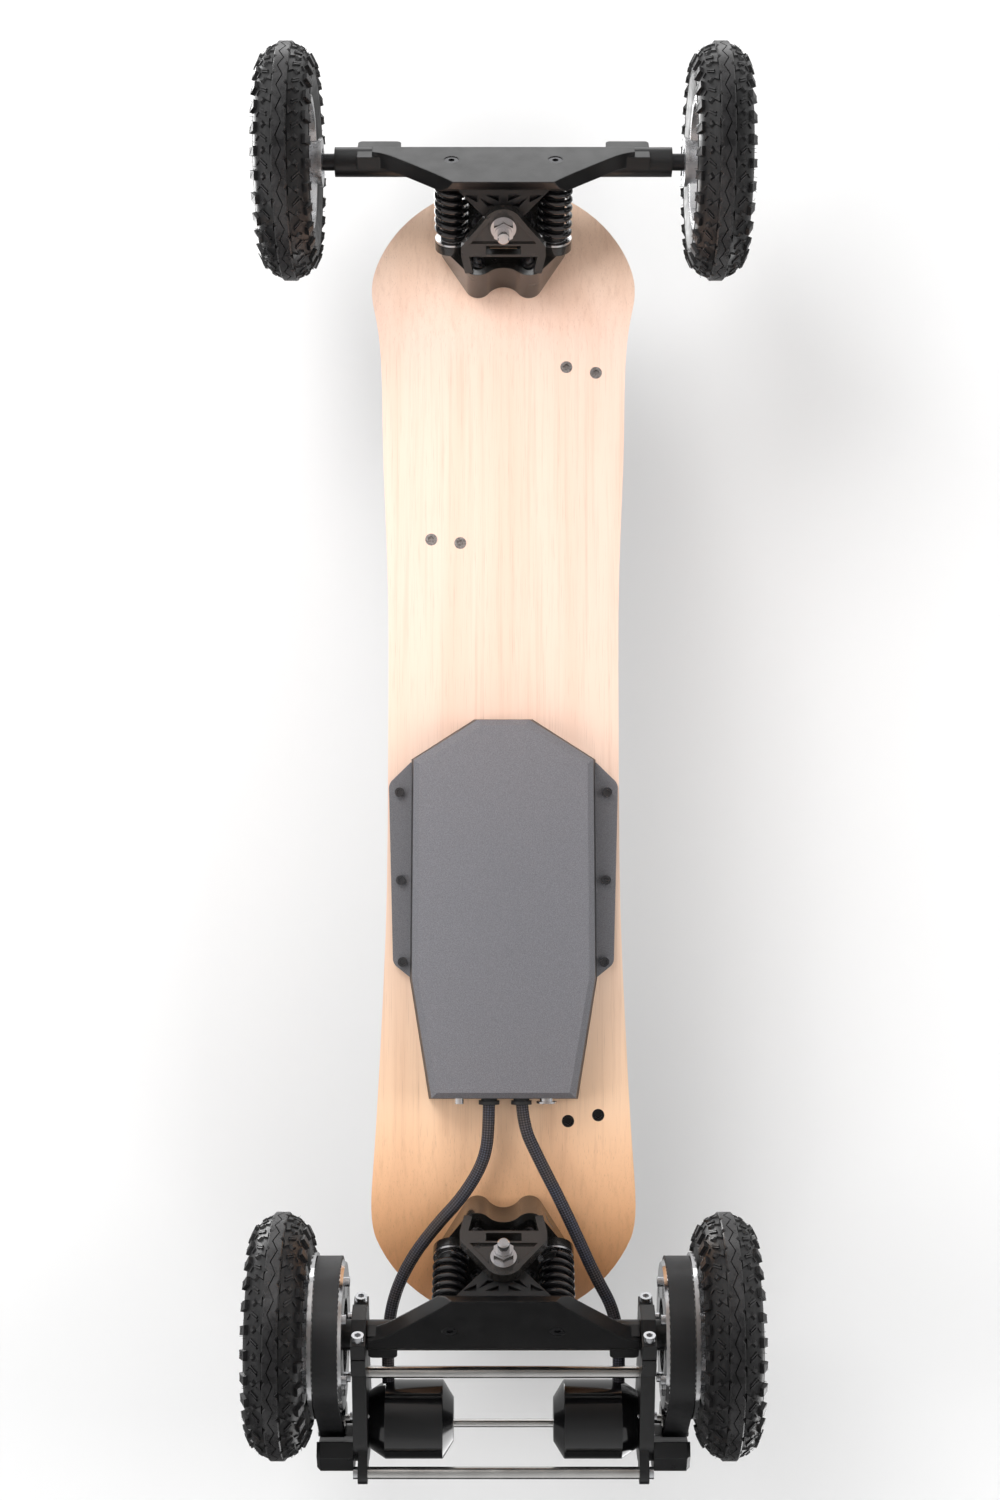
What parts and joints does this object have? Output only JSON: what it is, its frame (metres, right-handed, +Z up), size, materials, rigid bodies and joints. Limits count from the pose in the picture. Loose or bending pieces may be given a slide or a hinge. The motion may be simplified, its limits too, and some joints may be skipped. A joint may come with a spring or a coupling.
{
  "type": "electric skateboard",
  "caption": "Electric all-terrain skateboard: waisted ply deck with kicked ends, sprung kingpin trucks, knobbly air tyres, belt-driven rear wheels and a battery case under the deck.",
  "frame": {"origin": "on the ground under the middle of the deck", "axes": "+X towards the front truck, +Y to the rider's left, +Z up; the tyres stand on Z = 0"},
  "size_m": [1.2182, 0.4246, 0.2],
  "materials": {
    "deck_wood": "satin clear-coated maple ply",
    "grip": "coarse abrasive sheet",
    "cast_black": "black satin powder coat",
    "case_grey": "fine-textured charcoal coat",
    "zinc": "bright zinc plate",
    "black_screw": "black oxide",
    "spring_gloss": "gloss black",
    "chrome": "polished",
    "rim_alloy": "bright satin",
    "tyre_rubber": "matt with satin tread",
    "belt_rubber": "satin",
    "motor_black": "gloss black",
    "mount_black": "satin anodised",
    "bar_steel": "bright drawn",
    "sleeve": "braided",
    "grommet_rubber": "matt",
    "cell_wrap": "heat-shrink film",
    "controller": "matt"
  },
  "bodies": {
    "deck": {"deck_board": "deck_wood", "grip_tape": "grip", "front_truck_base": "cast_black", "rear_truck_base": "cast_black", "kingpins": "zinc", "kingpin_nuts": "zinc", "truck_bolts": "black_screw", "binding_screws": "black_screw", "enclosure_shell": "case_grey", "enclosure_screws": "black_screw", "battery_pack": "cell_wrap", "motor_controller": "controller", "charge_port": "zinc", "cable_grommets": "grommet_rubber", "left_motor_cable": "sleeve", "right_motor_cable": "sleeve", "spring_seats": "zinc", "front_left_spring": "spring_gloss", "front_right_spring": "spring_gloss", "rear_left_spring": "spring_gloss", "rear_right_spring": "spring_gloss"},
    "power_switch": {"power_button": "chrome"},
    "front_hanger": {"front_hanger": "cast_black", "front_spring_retainers": "black_screw", "front_axle": "zinc", "front_axle_hardware": "zinc"},
    "rear_hanger": {"rear_hanger": "cast_black", "rear_spring_retainers": "black_screw", "rear_axle": "zinc", "rear_axle_hardware": "zinc", "left_motor_mount": "mount_black", "right_motor_mount": "mount_black", "clamp_caps": "mount_black", "mount_screws": "zinc", "crossbars": "bar_steel", "left_motor_housing": "motor_black", "right_motor_housing": "motor_black", "pulley_guards": "mount_black", "left_belt": "belt_rubber", "right_belt": "belt_rubber"},
    "front_left_wheel": {"front_left_tyre": "tyre_rubber", "front_left_rim": "rim_alloy", "front_left_bearings": "zinc"},
    "front_right_wheel": {"front_right_tyre": "tyre_rubber", "front_right_rim": "rim_alloy", "front_right_bearings": "zinc"},
    "rear_left_wheel": {"rear_left_tyre": "tyre_rubber", "rear_left_rim": "rim_alloy", "rear_left_bearings": "zinc", "left_driven_pulley": "chrome", "left_pulley_bolts": "zinc"},
    "rear_right_wheel": {"rear_right_tyre": "tyre_rubber", "rear_right_rim": "rim_alloy", "rear_right_bearings": "zinc", "right_driven_pulley": "chrome", "right_pulley_bolts": "zinc"},
    "left_rotor": {"left_motor_rotor": "bar_steel", "left_motor_pulley": "bar_steel"},
    "right_rotor": {"right_motor_rotor": "bar_steel", "right_motor_pulley": "bar_steel"}
  },
  "joints": [
    {"name": "front_steer", "type": "hinge", "parent": "deck", "child": "front_hanger", "pos_m": [0.4728, 0, 0.0978], "axis": [0.7071, 0, 0.7071], "range_deg": [-15, 15], "stiffness_Nm_per_rad": 60, "deforming": ["front_left_spring", "front_right_spring"]},
    {"name": "rear_steer", "type": "hinge", "parent": "deck", "child": "rear_hanger", "pos_m": [-0.4478, 0, 0.0978], "axis": [-0.7071, 0, 0.7071], "range_deg": [-15, 15], "stiffness_Nm_per_rad": 60, "deforming": ["rear_left_spring", "rear_right_spring", "left_motor_cable", "right_motor_cable"]},
    {"name": "front_left_spin", "type": "hinge", "parent": "front_hanger", "child": "front_left_wheel", "pos_m": [0.5091, 0.1843, 0.1], "axis": [0, 1, 0], "continuous": true},
    {"name": "front_right_spin", "type": "hinge", "parent": "front_hanger", "child": "front_right_wheel", "pos_m": [0.5091, -0.1843, 0.1], "axis": [0, 1, 0], "continuous": true},
    {"name": "rear_left_spin", "type": "hinge", "parent": "rear_hanger", "child": "rear_left_wheel", "pos_m": [-0.4841, 0.1843, 0.1], "axis": [0, 1, 0], "continuous": true},
    {"name": "rear_right_spin", "type": "hinge", "parent": "rear_hanger", "child": "rear_right_wheel", "pos_m": [-0.4841, -0.1843, 0.1], "axis": [0, 1, 0], "continuous": true},
    {"name": "left_motor_spin", "type": "hinge", "parent": "rear_hanger", "child": "left_rotor", "pos_m": [-0.5612, 0.14, 0.14], "axis": [0, 1, 0], "continuous": true},
    {"name": "right_motor_spin", "type": "hinge", "parent": "rear_hanger", "child": "right_rotor", "pos_m": [-0.5612, -0.14, 0.14], "axis": [0, 1, 0], "continuous": true},
    {"name": "power_press", "type": "slide", "parent": "deck", "child": "power_switch", "axis": [1, 0, 0], "range_m": [0, 0.0015], "stiffness_N_per_m": 800}
  ],
  "couplings": [
    {"joint": "left_motor_spin", "follows": "rear_left_spin", "ratio": 4.875},
    {"joint": "right_motor_spin", "follows": "rear_right_spin", "ratio": 4.875}
  ]
}
